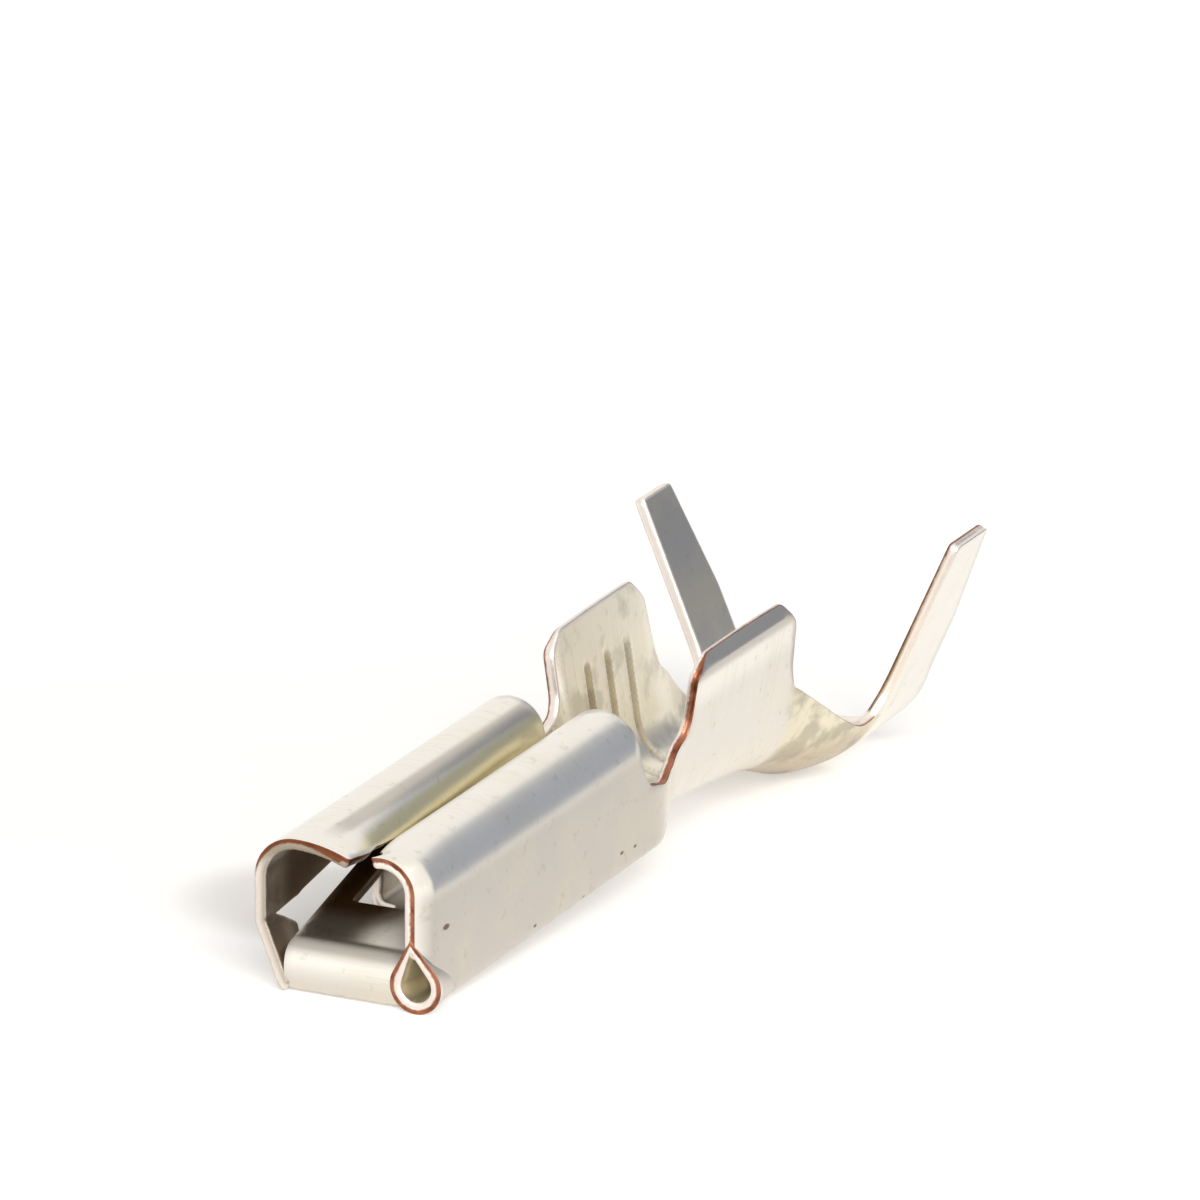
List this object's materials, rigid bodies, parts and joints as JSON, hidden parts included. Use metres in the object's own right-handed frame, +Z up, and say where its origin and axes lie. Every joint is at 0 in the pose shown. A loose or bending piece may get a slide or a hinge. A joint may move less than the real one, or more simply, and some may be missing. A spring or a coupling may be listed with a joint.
{
  "type": "female crimp terminal",
  "caption": "Tin-plated brass female crimp terminal: a box receptacle with rolled curls and a folded contact tongue, an open wire barrel and a splayed insulation barrel.",
  "frame": {"origin": "the middle of a 2.8 x 0.5 mm tab as it enters the mouth: in the mouth plane, on the strip's centre plane, half a tab below the curls' edges", "axes": "+X out of the mouth along the tab's path, the crimp barrels run towards -X; +Z up towards the curls; +Y to the left seen from behind"},
  "size_m": [0.0228, 0.0072, 0.0051],
  "materials": {
    "tin_plated_brass": "satin"
  },
  "bodies": {
    "root": {"terminal": "tin_plated_brass"}
  },
  "joints": []
}
